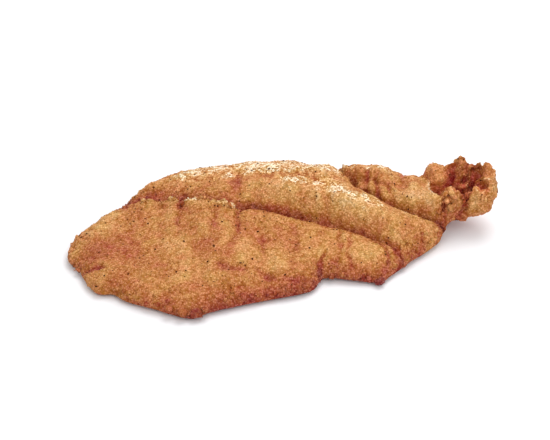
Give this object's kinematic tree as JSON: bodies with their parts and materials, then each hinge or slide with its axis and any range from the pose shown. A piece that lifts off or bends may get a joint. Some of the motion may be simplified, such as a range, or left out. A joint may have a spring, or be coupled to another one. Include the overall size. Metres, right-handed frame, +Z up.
{
  "type": "fried fish fillet",
  "caption": "Whole breaded and fried fish fillet lying flat: a thin flap overlaps a thick loin along a seam, and the tail end curls up into a hollow cup.",
  "frame": {"origin": "under the middle of the fillet, on the surface that it lies on", "axes": "+X along the fillet from the head end to the curled tail, +Y across it from the thin flap to the thick back edge, +Z up"},
  "size_m": [0.228, 0.116, 0.035],
  "materials": {
    "crust": "dry granular golden-brown fried crust, darker red-brown in the folds, paler on the crests, pepper flecked"
  },
  "bodies": {
    "root": {"fish_fillet": "crust"}
  },
  "joints": []
}
